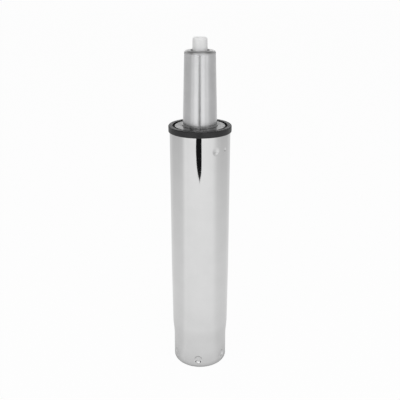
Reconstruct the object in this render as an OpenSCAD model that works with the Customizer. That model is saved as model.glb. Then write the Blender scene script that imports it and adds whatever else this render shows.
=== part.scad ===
/* [Overall] */
// Height of the whole cylinder pushed in, from the foot rim to the top of the button
closed_h = 290; // [265:5:320]
// How far the stem slides up out of the column
stroke = 110; // [80:5:115]
// Gap round each part that slides or turns on another
running_fit = 0.05; // [0.03:0.01:0.08]
// Gap between the stem and the buffer below it when pushed in
end_gap = 0.3; // [0.3:0.1:1]

/* [Column] */
// Height of the column with its collar
column_h = 220; // [205:5:230]
// Outside diameter of the column
column_od = 50; // [48:0.5:54]
// Wall of the column tube
column_wall = 1.6; // [1.2:0.1:2]
// Outside diameter of the reduced foot
foot_od = 47; // [45:0.5:47.5]
// Height of the reduced foot with its neck
foot_h = 40; // [34:1:50]
// Length of the neck that widens the foot
neck_h = 16; // [10:1:20]
// Outside diameter at the top of the neck
neck_od = 49; // [48:0.1:49.5]
// Height at which the slow taper above the neck ends
taper_end_z = 95; // [80:5:130]
// Outside radius of the rolled-in foot rim
rim_round = 3; // [2.2:0.2:4]
// Opening left by the rolled-in foot rim
rim_opening_d = 38; // [32:1:39]

/* [Stake marks] */
// Number of stakes pressed into the foot above its end plate
foot_stakes = 6; // [3:1:8]
// Width of a foot stake
foot_stake_w = 5.5; // [4:0.5:7]
// Depth of a foot stake
foot_stake_depth = 0.9; // [0.5:0.1:1.2]
// Turn of the first foot stake from the front
foot_stake_turn = -4; // [-30:1:30]
// Number of stakes that hold the guide bush
bush_stakes = 2; // [2:1:3]
// Width of a bush stake
bush_stake_w = 6.5; // [5:0.5:8]
// Depth of a bush stake
bush_stake_depth = 0.8; // [0.5:0.1:1.2]
// Distance of the bush stakes below the tube's top edge
bush_stake_drop = 12; // [9:0.5:18]
// Turn of the first bush stake from the front
bush_stake_turn = 31; // [0:1:90]
// Turn from each bush stake to the small punch mark beside it
punch_turn = 23; // [18:1:40]
// Width of a punch mark
punch_w = 3; // [2:0.5:4]
// Depth of a punch mark
punch_depth = 0.5; // [0.3:0.1:0.8]

/* [Collar and guide bush] */
// Outside diameter of the black collar cap
collar_od = 52; // [51:0.5:58]
// Height of the collar cap above the tube
collar_h = 5; // [4:0.5:8]
// Rounding of the collar's top edge
collar_round = 0.8; // [0.4:0.1:1.2]
// Width of the collar's flat top rim
collar_rim_w = 3.5; // [3:0.1:4.5]
// Width of the groove between the collar and the bush head
head_groove_w = 1.7; // [1:0.1:3]
// Depth of that groove below the collar's top
head_groove_depth = 2.5; // [1.5:0.1:3.5]
// Distance of the bush head below the collar's top
head_drop = 0.4; // [0:0.1:1.2]
// Length of the guide bush inside the tube
bush_h = 75; // [55:5:90]
// Height of the upper band that fits the tube
bush_band_top_h = 30; // [24:1:34]
// Height of the lower band that fits the tube
bush_band_low_h = 12; // [6:1:15]
// Depth of the relief between the two bands
bush_relief = 2.8; // [1:0.2:4]
// Number of ribs across the relief
bush_ribs = 8; // [4:1:16]
// Thickness of a rib
bush_rib_t = 3; // [2:0.5:5]
// Gap between the bush bands and the tube
bush_gap = 0.1; // [0.05:0.05:0.3]
// Lead-in chamfer at both ends of the bush bore
bush_lead = 0.6; // [0.3:0.1:1.2]

/* [End plate and thrust bearing] */
// Thickness of the pressed end plate
plate_t = 2.5; // [2:0.1:3]
// Height of the end plate's turned-down skirt
plate_skirt_h = 4.1; // [3.5:0.1:6]
// Rise of the end plate's raised seat
plate_rise = 3.6; // [3:0.1:5]
// Flat left on the raised seat outside the race
hat_margin = 0.5; // [0.3:0.1:1.5]
// Diameter of the bearing balls
ball_d = 4; // [3.5:0.1:4.4]
// Number of bearing balls
ball_count = 10; // [6:1:10]
// Pitch circle of the bearing balls
pitch_d = 16.4; // [16:0.1:18]
// Thickness of each bearing race
race_t = 2; // [1.6:0.1:3]
// Depth of the ball track in each race
track_depth = 0.5; // [0.3:0.1:0.8]
// Thickness of the ball cage
cage_t = 1.6; // [1.2:0.1:2]
// Web of the cage beside a ball
cage_web = 1; // [0.8:0.1:1.4]
// Lip of the races outside the cage
race_lip = 0.8; // [0.4:0.1:1.5]

/* [Piston rod] */
// Diameter of the piston rod
rod_d = 10; // [9:0.5:11]
// Diameter of the rod's lower stud
stud_d = 8; // [7:0.2:8.2]
// Chamfer at both ends of the rod
rod_edge = 0.6; // [0.3:0.1:1]
// Height of the stud's end above the foot rim
stud_end_z = 2; // [1:0.2:3]
// Diameter in the stud's clip groove
clip_groove_d = 6; // [5:0.2:6.4]
// Thickness of the retaining clip
clip_t = 1.2; // [0.8:0.1:1.4]
// Outside diameter of the retaining clip
clip_od = 13; // [12:0.5:16]
// Width of the clip's open mouth
clip_mouth_w = 5.5; // [4:0.1:5.6]
// Diameter of the two reliefs that leave the clip's gripping points
clip_relief_d = 3; // [2:0.1:3.4]
// Thickness of the washer over the clip
clip_washer_t = 1.2; // [0.8:0.1:1.4]
// Outside diameter of the washer over the clip
clip_washer_od = 20; // [16:0.5:24]
// Outside diameter of the washers on the rod
washer_od = 24; // [20:0.5:28]
// Thickness of the two washers round the buffer
washer_t = 2; // [1.5:0.1:3]
// Height of the rubber buffer
buffer_h = 24; // [16:1:30]
// How far the buffer is drawn in at its waist
buffer_waist = 1.6; // [0.5:0.1:2.5]

/* [Piston] */
// Height of the piston
piston_h = 8; // [7:0.5:12]
// Diameter of the rod's upper spigot
spigot_d = 7; // [5:0.5:7.5]
// Height of the piston ring
piston_ring_h = 3; // [2:0.5:4]
// Radial thickness of the piston ring
piston_ring_t = 1.5; // [1:0.1:2]
// Thickness of the piston washer
piston_washer_t = 1; // [0.8:0.1:2]
// Height of the piston nut
nut_h = 3; // [3:0.5:5]
// Width of the piston nut across its flats
nut_flats = 12; // [11:0.5:14]
// Length of the spigot past the nut
spigot_tail = 2; // [1:0.5:3]
// Clear way left above the seals at full stroke
stroke_reserve = 1; // [0.5:0.5:3]

/* [Stem] */
// Outside diameter of the stem
stem_od = 28; // [27:0.5:30]
// Wall of the stem below its taper
stem_wall = 1.8; // [1.5:0.1:2]
// Length of the tapered seat at the stem's top
seat_taper_h = 58; // [50:1:62]
// Length in which the seat taper gains one unit of diameter
seat_taper_run = 20; // [18:1:24]
// Wall of the stem at the top of its taper
stem_top_wall = 1.55; // [1.3:0.05:1.8]
// Thickness of the rolled-in top of the stem
stem_roof_t = 2.5; // [1.8:0.1:3.2]
// Rounding of the stem's top edge
stem_round = 1.5; // [0.8:0.1:2.2]
// Mouth of the stem round the button
mouth_d = 15; // [14:0.5:17]
// Rounding of the rolled-in lower end of the stem
stem_foot_round = 3; // [2.4:0.2:4]
// Opening in the lower end of the stem
stem_opening_d = 17; // [14:0.5:19]

/* [Stem inside] */
// Height of the rod guide
rod_guide_h = 10; // [8:1:14]
// Height of the rod seal
rod_seal_h = 6; // [5:0.5:8]
// Height of the spacer flange above the rod seal
spacer_flange_h = 2.6; // [2:0.1:4]
// Way for the gas between the rod and the spacer
spacer_gap = 1; // [0.6:0.1:1.6]
// Height of the spigot that centres the liner
liner_spigot_h = 2; // [1.5:0.1:3]
// Way for the gas between the liner and the stem
flow_gap = 1.2; // [0.8:0.1:1.4]
// Wall of the liner
liner_wall = 1; // [0.8:0.1:1.2]
// Diameter of the gas holes near the liner's foot
liner_hole_d = 3; // [2:0.5:4]
// Number of gas holes
liner_holes = 4; // [2:1:6]
// Height of the valve seat
valve_seat_h = 22; // [20:1:26]
// Height of the valve seat's plug inside the liner
valve_plug_h = 4; // [3:0.5:5]
// Distance of the narrow upper bore above the liner's top
bore_step_rise = 8; // [6:0.5:10]
// Height of the valve guide
valve_guide_h = 14; // [11:1:16]
// Height of the two bands of the valve guide that fit the stem
valve_band_h = 4; // [3:0.5:5]
// Diameter of the gas ports in the valve seat
port_d = 2.5; // [1.5:0.1:3]
// Cord diameter of the ring that seals the valve seat
body_ring_d = 1.7; // [1.4:0.1:2.2]
// Distance of that ring below the valve seat's top
body_ring_drop = 5; // [3:0.5:8]
// Diameter of the chambers round the valve pin that hold its seals
pin_chamber_d = 9.2; // [8.4:0.2:10]
// Height of each chamber
pin_chamber_h = 4.5; // [4:0.1:5]
// Height of the pin seal
pin_seal_h = 3; // [2.4:0.1:3.4]

/* [Button and valve pin] */
// Travel of the button
button_travel = 5; // [3:0.5:5]
// Diameter of the button
button_d = 12; // [10:0.5:13]
// How far the button narrows towards its top
button_draft = 0.2; // [0:0.1:0.6]
// Length of the button
button_h = 18; // [15.5:0.5:20]
// Height of the button above the stem
button_proud = 10; // [8:0.5:12]
// Rounding of the button's top edge
button_round = 1.6; // [0.8:0.1:3]
// Gap between the button and its guide
button_gap = 0.15; // [0.1:0.05:0.4]
// Depth of the pin's socket in the button
socket_depth = 6; // [4:0.5:8]
// Diameter of the pin's upper shank
pin_d = 4.9; // [4:0.1:5.2]
// Diameter of the pin where it closes the valve
pin_plug_d = 5.8; // [5.4:0.1:6.2]
// Diameter of the pin's waist
pin_waist_d = 3.8; // [3:0.1:4]
// Length of the pin's waist
pin_waist_h = 5.5; // [4:0.5:6]
// Diameter of the pin's head
pin_head_d = 7.8; // [7:0.1:8]
// Height of the pin's head
pin_head_h = 2.7; // [2:0.1:3.5]

/* [Hidden] */
$fn = 96;

// Overhang that carries a cutting shape clear of the face it cuts
cut = 1;
// Gap between parts that are pressed or laid together
seat_fit = 0.05;
// Share of the rod seal's width that each of its two lips takes
seal_lip_share = 0.25;
// Angle of each clip relief from the side opposite the clip's mouth
clip_relief_turn = 45;

// Column
column_r = column_od / 2;
foot_r = foot_od / 2;
neck_r = neck_od / 2;
tube_top_z = column_h - collar_h;
tube_bore_r = column_r - column_wall;
foot_bore_r = foot_r - column_wall;

// End plate and bearing, stacked upwards from the rolled rim
web_top_z = column_wall + plate_skirt_h;
hat_top_z = web_top_z + plate_rise;
hat_low_z = hat_top_z - plate_t;
ball_r = ball_d / 2;
pitch_r = pitch_d / 2;
cage_in_r = pitch_r - ball_r - cage_web;
cage_out_r = pitch_r + ball_r + cage_web;
race_out_r = cage_out_r + race_lip;
hat_r = race_out_r + hat_margin;
lower_race_top_z = hat_top_z + race_t;
ball_z = lower_race_top_z - track_depth + ball_r;
upper_race_z = ball_z + ball_r - track_depth;
upper_race_top_z = upper_race_z + race_t;

// Stakes: spherical dents whose inner side stands proud of the bore by the same depth
foot_stake_r = dent_radius(foot_stake_w, foot_stake_depth);
bush_stake_r = dent_radius(bush_stake_w, bush_stake_depth);
punch_r = dent_radius(punch_w, punch_depth);
foot_stake_reach = foot_r - foot_stake_depth + foot_stake_r;
bush_stake_reach = column_r - bush_stake_depth + bush_stake_r;
punch_reach = column_r - punch_depth + punch_r;
foot_bump_half = sqrt(pow(foot_stake_r + column_wall, 2) - pow(foot_stake_reach - foot_bore_r, 2));
foot_stake_z = web_top_z + foot_bump_half + 2 * seat_fit;
bush_stake_z = tube_top_z - bush_stake_drop;

// Collar and bush
collar_r = collar_od / 2;
collar_in_r = collar_r - collar_rim_w;
head_r = collar_in_r - head_groove_w;
head_top_z = column_h - head_drop;
groove_floor_z = column_h - head_groove_depth;
bush_r = tube_bore_r - bush_gap;
bush_low_z = tube_top_z - bush_h;

// Rod stack, upwards from the bearing
rod_r = rod_d / 2;
stud_r = stud_d / 2;
washer_r = washer_od / 2;
clip_groove_r = clip_groove_d / 2;
clip_washer_top_z = hat_low_z - seat_fit;
clip_top_z = clip_washer_top_z - clip_washer_t;
buffer_z = upper_race_top_z + washer_t;
buffer_top_z = buffer_z + buffer_h;
stem_low_z = buffer_top_z + washer_t + end_gap;

// Stem, and what it holds from its lower end
stem_r = stem_od / 2;
stem_bore_r = stem_r - stem_wall;
stem_top_z = closed_h - button_proud;
seat_low_z = stem_top_z - seat_taper_h;
stem_top_r = stem_r - seat_taper_in(stem_top_z);
upper_bore_r = stem_top_r - stem_top_wall;
insert_r = stem_bore_r - 2 * seat_fit;
rod_guide_z = stem_low_z + stem_wall;
rod_seal_z = rod_guide_z + rod_guide_h;
spacer_z = rod_seal_z + rod_seal_h;
liner_z = spacer_z + spacer_flange_h;
liner_out_r = stem_bore_r - flow_gap;
liner_in_r = liner_out_r - liner_wall;

// Piston, placed so that the stem's seals meet it at full stroke
piston_z = liner_z + liner_spigot_h + stroke + stroke_reserve;
piston_top_z = piston_z + piston_h;
piston_ring_z = piston_z + (piston_h - piston_ring_h) / 2;
nut_z = piston_top_z + piston_washer_t;
rod_tip_z = nut_z + nut_h + spigot_tail;
spigot_r = spigot_d / 2;
piston_r = liner_in_r - running_fit;

// Valve, hung downwards from the rolled top of the stem
roof_z = stem_top_z - stem_roof_t;
button_low_z = closed_h - button_h;
valve_guide_top_z = button_low_z - button_travel - stroke_reserve;
valve_guide_z = valve_guide_top_z - valve_guide_h;
valve_seat_z = valve_guide_z - valve_seat_h;
liner_top_z = valve_seat_z + valve_plug_h;
valve_r = upper_bore_r - seat_fit;
bore_step_z = liner_top_z + bore_step_rise;
pin_r = pin_d / 2;
pin_plug_r = pin_plug_d / 2;
pin_chamber_r = pin_chamber_d / 2;
pin_seal_z = valve_seat_z + pin_chamber_h - pin_seal_h;
port_chamber_z = valve_seat_z + pin_chamber_h + port_d / 2;
port_z = port_chamber_z + port_d;
waist_z = port_chamber_z + seat_fit;
body_ring_z = valve_guide_z - body_ring_drop;
pin_ring_d = pin_chamber_r - pin_r - seat_fit;
button_r = button_d / 2;
pin_top_z = button_low_z + socket_depth;

// Radius of the ball that leaves a dent of this width and depth
function dent_radius(w, depth) = (w * w / 4 + depth * depth) / (2 * depth);

// How far the seat taper has drawn the stem in at height z
function seat_taper_in(z) = max(0, z - seat_low_z) / seat_taper_run / 2;

// Points of an arc about c, from one angle to another
function arc(c, r, from, to, n = 8) = [
    for (i = [0 : n])
        let (a = from + (to - from) * i / n)
        [c.x + r * cos(a), c.y + r * sin(a)]
];

// Points of a smooth step from p to q that starts and ends upright
function ease(p, q, n = 10) = [
    for (i = [0 : n])
        let (t = i / n)
        [p.x + (q.x - p.x) * t * t * (3 - 2 * t), p.y + (q.y - p.y) * t]
];

module turned(outline) {
    rotate_extrude()
        polygon(outline);
}

// A plain ring from z0 to z1
module ring(in_r, out_r, z0, z1) {
    turned([[in_r, z0], [out_r, z0], [out_r, z1], [in_r, z1]]);
}

// Places its children round the axis: the first at this turn from the front, at radius r and height z
module around(count, first, r, z) {
    for (i = [0 : count - 1])
        rotate([0, 0, first + 360 * i / count])
            translate([0, -r, z])
                children();
}

// Column tube: drawn steel with a reduced foot, a rolled-in rim and staked dents
module column_tube() {
    neck = ease([foot_r, foot_h - neck_h], [neck_r, foot_h]);
    rim_c = [foot_r - rim_round, rim_round];
    outline = concat(
        [[rim_opening_d / 2, 0]],
        arc(rim_c, rim_round, 270, 360),
        neck,
        [[column_r, taper_end_z], [column_r, tube_top_z]],
        [[tube_bore_r, tube_top_z], [tube_bore_r, taper_end_z]],
        [for (i = [len(neck) - 1 : -1 : 0]) [neck[i].x - column_wall, neck[i].y]],
        arc(rim_c, rim_round - column_wall, 360, 270),
        [[rim_opening_d / 2, column_wall]]
    );
    color("gainsboro")
    difference() {
        union() {
            turned(outline);
            stake_bumps(foot_stakes, foot_stake_turn, foot_stake_reach, foot_stake_z, foot_stake_r,
                foot_r - foot_stake_depth / 2);
            stake_bumps(bush_stakes, bush_stake_turn, bush_stake_reach, bush_stake_z, bush_stake_r,
                column_r - bush_stake_depth / 2);
        }
        around(foot_stakes, foot_stake_turn, foot_stake_reach, foot_stake_z)
            sphere(r = foot_stake_r);
        around(bush_stakes, bush_stake_turn, bush_stake_reach, bush_stake_z)
            sphere(r = bush_stake_r);
        around(bush_stakes, bush_stake_turn + punch_turn, punch_reach, bush_stake_z)
            sphere(r = punch_r);
    }
}

// Inner sides of staked dents, kept inside the wall at radius wall_r
module stake_bumps(count, first, reach, z, r, wall_r) {
    intersection() {
        around(count, first, reach, z)
            sphere(r = r + column_wall);
        translate([0, 0, z - r - column_wall])
            cylinder(r = wall_r, h = 2 * (r + column_wall));
    }
}

// Collar cap: black ring that closes the top edge of the tube
module collar_cap() {
    color("black")
    turned(concat(
        [[collar_in_r, tube_top_z], [collar_r, tube_top_z]],
        arc([collar_r - collar_round, column_h - collar_round], collar_round, 0, 90),
        [[collar_in_r, column_h]]
    ));
}

// Guide bush: ribbed plastic sleeve that the stem slides in, with a glossy head inside the collar
module guide_bush() {
    bore_r = stem_r + running_fit;
    web_r = bush_r - bush_relief;
    band_top_z = tube_top_z - bush_band_top_h;
    band_low_z = bush_low_z + bush_band_low_h;
    rib_r = bush_r - seat_fit;
    color("dimgray")
    difference() {
        union() {
            turned([
                [bore_r + bush_lead, bush_low_z], [bush_r, bush_low_z],
                [bush_r, band_low_z], [web_r, band_low_z],
                [web_r, band_top_z], [bush_r, band_top_z],
                [bush_r, tube_top_z], [collar_in_r - seat_fit, tube_top_z],
                [collar_in_r - seat_fit, groove_floor_z], [head_r, groove_floor_z],
                [head_r, head_top_z], [bore_r + bush_lead, head_top_z],
                [bore_r, head_top_z - bush_lead], [bore_r, bush_low_z + bush_lead]
            ]);
            intersection() {
                ring(web_r - cut, rib_r, band_low_z - cut, band_top_z + cut);
                around(bush_ribs, 0, bush_r / 2 + bore_r / 2, (band_low_z + band_top_z) / 2)
                    cube([bush_rib_t, bush_r, band_top_z - band_low_z + cut], center = true);
            }
        }
        around(bush_stakes, bush_stake_turn, bush_stake_reach, bush_stake_z)
            sphere(r = bush_stake_r + column_wall + bush_gap);
    }
}

// End plate: pressed dish held between the rolled rim and the foot stakes
module end_plate() {
    skirt_r = foot_bore_r - 2 * seat_fit;
    hole_r = stud_r + 2 * seat_fit;
    flank = plate_rise / 2;
    color("silver")
    turned([
        [skirt_r - plate_t, column_wall], [foot_r - rim_round, column_wall],
        [skirt_r, rim_round], [skirt_r, web_top_z],
        [hat_r + flank, web_top_z],
        [hat_r, hat_top_z], [hole_r, hat_top_z],
        [hole_r, hat_low_z], [hat_r - plate_t / 2, hat_low_z],
        [hat_r + flank - plate_t / 2, web_top_z - plate_t], [skirt_r - plate_t, web_top_z - plate_t]
    ]);
}

// Race with its ball track cut into the face at track_z
module race(z, track_side_z) {
    difference() {
        ring(stud_r + 2 * seat_fit, race_out_r, z, z + race_t);
        translate([0, 0, track_side_z])
            rotate_extrude()
                translate([pitch_r, 0])
                    circle(r = ball_r + running_fit);
    }
}

module lower_race() {
    color("lightsteelblue")
    race(hat_top_z, ball_z);
}

module upper_race() {
    color("lightsteelblue")
    race(upper_race_z, ball_z);
}

// Ball cage: flat ring with one hole for each ball
module ball_cage() {
    color("goldenrod")
    difference() {
        ring(cage_in_r, cage_out_r, ball_z - cage_t / 2, ball_z + cage_t / 2);
        around(ball_count, 0, pitch_r, ball_z - ball_r)
            cylinder(r = ball_r + running_fit, h = ball_d);
    }
}

module bearing_balls() {
    color("white")
    around(ball_count, 0, pitch_r, ball_z)
        sphere(r = ball_r);
}

// Piston rod: ground bar with a stud below and a spigot above
module piston_rod() {
    groove_low_z = clip_top_z - clip_t - seat_fit;
    color("silver")
    turned([
        [0, stud_end_z], [stud_r - rod_edge, stud_end_z],
        [stud_r, stud_end_z + rod_edge], [stud_r, groove_low_z],
        [clip_groove_r, groove_low_z], [clip_groove_r, clip_top_z + seat_fit],
        [stud_r, clip_top_z + seat_fit], [stud_r, upper_race_top_z],
        [rod_r, upper_race_top_z], [rod_r, piston_z],
        [spigot_r, piston_z], [spigot_r, rod_tip_z - rod_edge],
        [spigot_r - rod_edge, rod_tip_z], [0, rod_tip_z]
    ]);
}

module clip_washer() {
    color("darkgray")
    ring(stud_r + 2 * seat_fit, clip_washer_od / 2, clip_top_z, clip_washer_top_z);
}

// Retaining clip: open spring clip that grips the stud's groove at three points
module retaining_clip() {
    seat_r = clip_groove_r + seat_fit;
    color("slategray")
    translate([0, 0, clip_top_z - clip_t])
        linear_extrude(clip_t)
            difference() {
                circle(d = clip_od);
                circle(r = seat_r);
                for (side = [-1, 1])
                    rotate(side * clip_relief_turn)
                        translate([0, seat_r])
                            circle(d = clip_relief_d);
                translate([-clip_mouth_w / 2, -clip_od])
                    square([clip_mouth_w, clip_od]);
            }
}

module support_washer() {
    color("darkgray")
    ring(rod_r + 2 * seat_fit, washer_r, upper_race_top_z, buffer_z);
}

// Rubber buffer: waisted sleeve that softens the end of the stroke
module rubber_buffer() {
    waist_r = washer_r - buffer_waist;
    half = ease([washer_r, buffer_z], [waist_r, buffer_z + buffer_h / 2], 6);
    color("darkslategray")
    turned(concat(
        [[rod_r + 2 * seat_fit, buffer_z]],
        half,
        [for (i = [len(half) - 2 : -1 : 0]) [half[i].x, buffer_z + buffer_top_z - half[i].y]],
        [[rod_r + 2 * seat_fit, buffer_top_z]]
    ));
}

module buffer_washer() {
    color("darkgray")
    ring(rod_r + 2 * seat_fit, washer_r, buffer_top_z, buffer_top_z + washer_t);
}

// Piston: grooved disc clamped on the rod's spigot
module piston() {
    groove_r = piston_r - piston_ring_t;
    groove_top_z = piston_ring_z + piston_ring_h + seat_fit;
    color("tan")
    turned([
        [spigot_r + seat_fit, piston_z], [piston_r, piston_z],
        [piston_r, piston_ring_z - seat_fit], [groove_r, piston_ring_z - seat_fit],
        [groove_r, groove_top_z], [piston_r, groove_top_z],
        [piston_r, piston_top_z], [spigot_r + seat_fit, piston_top_z]
    ]);
}

module piston_ring() {
    color("white")
    ring(piston_r - piston_ring_t + seat_fit, liner_in_r - running_fit / 2,
        piston_ring_z, piston_ring_z + piston_ring_h);
}

module piston_washer() {
    color("darkgray")
    ring(spigot_r + seat_fit, nut_flats / 2 + piston_washer_t, piston_top_z, nut_z);
}

// Piston nut: plain hexagon on the end of the spigot
module piston_nut() {
    color("gray")
    difference() {
        translate([0, 0, nut_z])
            cylinder(d = nut_flats / cos(30), h = nut_h, $fn = 6);
        translate([0, 0, nut_z - cut])
            cylinder(r = spigot_r + seat_fit, h = nut_h + 2 * cut);
    }
}

// Pressure tube: the sliding stem, rolled in at both ends and tapered at its top
module pressure_tube() {
    step_low_z = bore_step_z - flow_gap;
    foot_c = [stem_r - stem_foot_round, stem_low_z + stem_foot_round];
    outline = concat(
        [[stem_opening_d / 2, stem_low_z]],
        arc(foot_c, stem_foot_round, 270, 360),
        [[stem_r, seat_low_z]],
        arc([stem_top_r - stem_round, stem_top_z - stem_round], stem_round, 0, 90),
        [[mouth_d / 2, stem_top_z], [mouth_d / 2, roof_z]],
        [[upper_bore_r, roof_z], [upper_bore_r, bore_step_z]],
        [[stem_bore_r - seat_taper_in(step_low_z), step_low_z], [stem_bore_r, min(seat_low_z, step_low_z)]],
        arc(foot_c, stem_foot_round - stem_wall, 360, 270),
        [[stem_opening_d / 2, stem_low_z + stem_wall]]
    );
    color("lightgray")
    turned(outline);
}

// Rod guide: sits inside the rolled end of the stem and bears on the rod
module rod_guide() {
    corner = stem_foot_round - stem_wall;
    color("peru")
    turned([
        [rod_r + running_fit, rod_guide_z], [insert_r - corner, rod_guide_z],
        [insert_r, rod_guide_z + corner], [insert_r, rod_seal_z],
        [rod_r + running_fit, rod_seal_z]
    ]);
}

// Rod seal: rubber ring with a lip on the rod and a hollow that the gas presses open
module rod_seal() {
    lip_r = rod_r + running_fit / 2;
    lip_t = (insert_r - lip_r) * seal_lip_share;
    color("black")
    turned([
        [lip_r + lip_t / 2, rod_seal_z], [insert_r, rod_seal_z],
        [insert_r, spacer_z], [insert_r - lip_t, spacer_z],
        [insert_r - 2 * lip_t, rod_seal_z + rod_seal_h / 2], [lip_r + lip_t, spacer_z - seat_fit],
        [lip_r, spacer_z - rod_seal_h / 4]
    ]);
}

// Seal spacer: flange over the rod seal whose spigot centres the liner
module seal_spacer() {
    bore_r = rod_r + spacer_gap;
    color("silver")
    turned([
        [bore_r, spacer_z], [insert_r, spacer_z],
        [insert_r, liner_z], [liner_in_r - seat_fit, liner_z],
        [liner_in_r - seat_fit, liner_z + liner_spigot_h], [bore_r, liner_z + liner_spigot_h]
    ]);
}

// Liner tube: the bore that the piston runs in, with gas holes near its foot
module liner_tube() {
    hole_z = liner_z + liner_spigot_h + liner_hole_d;
    color("whitesmoke")
    difference() {
        ring(liner_in_r, liner_out_r, liner_z, liner_top_z);
        around(liner_holes, 0, liner_in_r + liner_wall / 2, hole_z)
            rotate([90, 0, 0])
                cylinder(d = liner_hole_d, h = liner_wall + 2 * cut, center = true);
    }
}

// Valve seat: closes the liner and leads the gas past the pin to its ports
module valve_seat() {
    plug_r = liner_in_r - seat_fit;
    ring_floor_r = upper_bore_r - body_ring_d - seat_fit;
    ring_half = body_ring_d / 2 + 2 * seat_fit;
    shank_r = pin_r + running_fit;
    closed_r = pin_plug_r + running_fit;
    port_top_z = port_z + port_d;
    color("burlywood")
    difference() {
        turned([
            [pin_chamber_r, valve_seat_z], [plug_r, valve_seat_z],
            [plug_r, liner_top_z], [valve_r, liner_top_z],
            [valve_r, body_ring_z - ring_half], [ring_floor_r, body_ring_z - ring_half],
            [ring_floor_r, body_ring_z + ring_half], [valve_r, body_ring_z + ring_half],
            [valve_r, valve_guide_z], [shank_r, valve_guide_z],
            [shank_r, port_top_z], [pin_chamber_r, port_top_z],
            [pin_chamber_r, port_chamber_z], [closed_r, port_chamber_z],
            [closed_r, valve_seat_z + pin_chamber_h], [pin_chamber_r, valve_seat_z + pin_chamber_h]
        ]);
        for (turn = [0, 90])
            rotate([90, 0, turn])
                translate([0, port_z, 0])
                    cylinder(d = port_d, h = 2 * (valve_r + cut), center = true);
    }
}

module pin_seal() {
    color("black")
    ring(pin_plug_r + running_fit / 2, pin_chamber_r - seat_fit, pin_seal_z, pin_seal_z + pin_seal_h);
}

module body_ring() {
    color("black")
    translate([0, 0, body_ring_z])
        rotate_extrude()
            translate([upper_bore_r - (body_ring_d + seat_fit) / 2, 0])
                circle(d = body_ring_d);
}

// Valve guide: long plug above the seat that the pin runs through
module valve_guide() {
    chamber_top_z = valve_guide_z + pin_ring_d + seat_fit;
    waist_r = valve_r - body_ring_d;
    color("burlywood")
    turned([
        [pin_chamber_r, valve_guide_z], [valve_r, valve_guide_z],
        [valve_r, valve_guide_z + valve_band_h], [waist_r, valve_guide_z + valve_band_h],
        [waist_r, valve_guide_top_z - valve_band_h], [valve_r, valve_guide_top_z - valve_band_h],
        [valve_r, valve_guide_top_z], [pin_r + running_fit, valve_guide_top_z],
        [pin_r + running_fit, chamber_top_z], [pin_chamber_r, chamber_top_z]
    ]);
}

module pin_ring() {
    color("black")
    translate([0, 0, valve_guide_z + pin_ring_d / 2])
        rotate_extrude()
            translate([(pin_chamber_r + pin_r) / 2, 0])
                circle(d = pin_ring_d);
}

// Button guide: bush that the rolled top of the stem clamps on the valve guide
module button_guide() {
    color("dimgray")
    ring(button_r + button_gap, valve_r, valve_guide_top_z, roof_z);
}

// Valve pin: head, plug, waist and a long shank up into the button
module valve_pin() {
    head_top_z = valve_seat_z - end_gap;
    color("silver")
    turned([
        [0, head_top_z - pin_head_h], [pin_head_d / 2, head_top_z - pin_head_h],
        [pin_head_d / 2, head_top_z], [pin_plug_r, head_top_z],
        [pin_plug_r, waist_z], [pin_waist_d / 2, waist_z],
        [pin_waist_d / 2, waist_z + pin_waist_h], [pin_r, waist_z + pin_waist_h],
        [pin_r, pin_top_z], [0, pin_top_z]
    ]);
}

// Release button: white cap with a rounded top, pushed on the valve pin
module release_button() {
    top_r = button_r - button_draft;
    color("ghostwhite")
    turned(concat(
        [[pin_r + seat_fit, button_low_z], [button_r, button_low_z], [button_r, stem_top_z]],
        arc([top_r - button_round, closed_h - button_round], button_round, 0, 90),
        [[0, closed_h], [0, pin_top_z], [pin_r + seat_fit, pin_top_z]]
    ));
}

column_tube();
collar_cap();
guide_bush();
end_plate();
lower_race();
ball_cage();
bearing_balls();
upper_race();
piston_rod();
clip_washer();
retaining_clip();
support_washer();
rubber_buffer();
buffer_washer();
piston();
piston_ring();
piston_washer();
piston_nut();
pressure_tube();
rod_guide();
rod_seal();
seal_spacer();
liner_tube();
valve_seat();
pin_seal();
body_ring();
valve_guide();
pin_ring();
button_guide();
valve_pin();
release_button();
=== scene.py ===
import math

import bpy
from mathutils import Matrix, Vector


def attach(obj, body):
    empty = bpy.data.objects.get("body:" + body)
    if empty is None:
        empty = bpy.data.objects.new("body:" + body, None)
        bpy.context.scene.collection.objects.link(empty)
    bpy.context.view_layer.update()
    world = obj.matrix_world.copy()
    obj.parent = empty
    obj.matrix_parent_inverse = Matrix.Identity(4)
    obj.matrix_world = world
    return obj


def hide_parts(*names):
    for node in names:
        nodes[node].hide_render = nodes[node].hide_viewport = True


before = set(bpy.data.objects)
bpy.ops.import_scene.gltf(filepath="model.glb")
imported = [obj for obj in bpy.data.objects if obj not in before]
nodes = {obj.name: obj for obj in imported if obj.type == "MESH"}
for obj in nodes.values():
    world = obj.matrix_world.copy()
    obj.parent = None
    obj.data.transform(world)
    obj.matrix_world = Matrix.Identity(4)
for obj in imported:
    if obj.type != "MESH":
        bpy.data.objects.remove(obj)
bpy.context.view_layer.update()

# Camera
# A camera stands in front of the cylinder and above its button, and looks down
# at its middle. The lens gives the photograph's taper from ring to foot.
CAMERA_BACK = 0.500
CAMERA_UP = 0.340
CAMERA_DOWN = 20.39
LENS = 56.02

camera = bpy.data.objects.new("camera", bpy.data.cameras.new("camera"))
bpy.context.scene.collection.objects.link(camera)
camera.data.sensor_width = 36
camera.data.lens = LENS
camera.data.clip_start = 0.01
camera.location = (0, -CAMERA_BACK, CAMERA_UP)
camera.rotation_euler = (math.radians(90 - CAMERA_DOWN), 0, 0)
bpy.context.scene.camera = camera
bpy.context.scene.view_settings.view_transform = "Standard"

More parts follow.
